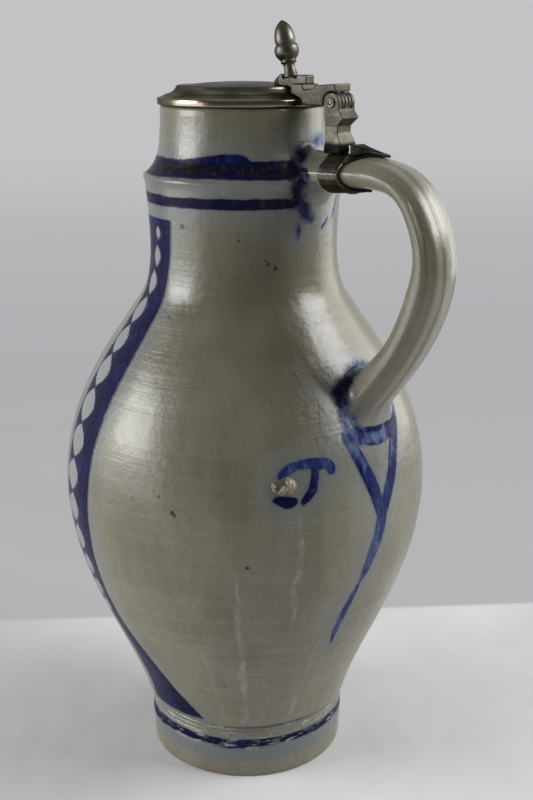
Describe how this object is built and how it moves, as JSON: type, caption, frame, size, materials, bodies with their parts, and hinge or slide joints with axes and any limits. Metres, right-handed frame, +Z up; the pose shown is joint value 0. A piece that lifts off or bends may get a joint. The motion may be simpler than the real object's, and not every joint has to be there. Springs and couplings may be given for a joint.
{
  "type": "lidded stoneware jug",
  "caption": "Tall pear-shaped salt-glazed jug with a pulled handle and a hinged pewter lid with an acorn thumbpiece.",
  "frame": {"origin": "centre of the underside of the base", "axes": "+Z up along the axis of the body, +X towards the handle and the hinge, +Y along the hinge pin; the face opposite the handle looks along -X"},
  "size_m": [0.2201, 0.1916, 0.3892],
  "materials": {
    "salt_glaze": "gloss",
    "pewter": "satin",
    "worn_pewter": "satin"
  },
  "bodies": {
    "jug": {"jug_body": "salt_glaze", "jug_handle": "salt_glaze", "handle_strap": "worn_pewter", "hinge_post": "pewter", "hinge_pin": "worn_pewter"},
    "lid": {"lid_cover": "pewter", "lid_arm": "pewter", "thumb_base": "pewter", "thumb_acorn": "pewter"}
  },
  "joints": [
    {"name": "lid_hinge", "type": "hinge", "parent": "jug", "child": "lid", "pos_m": [0.0603, 0, 0.3522], "axis": [0, 1, 0], "range_deg": [0, 96]}
  ]
}
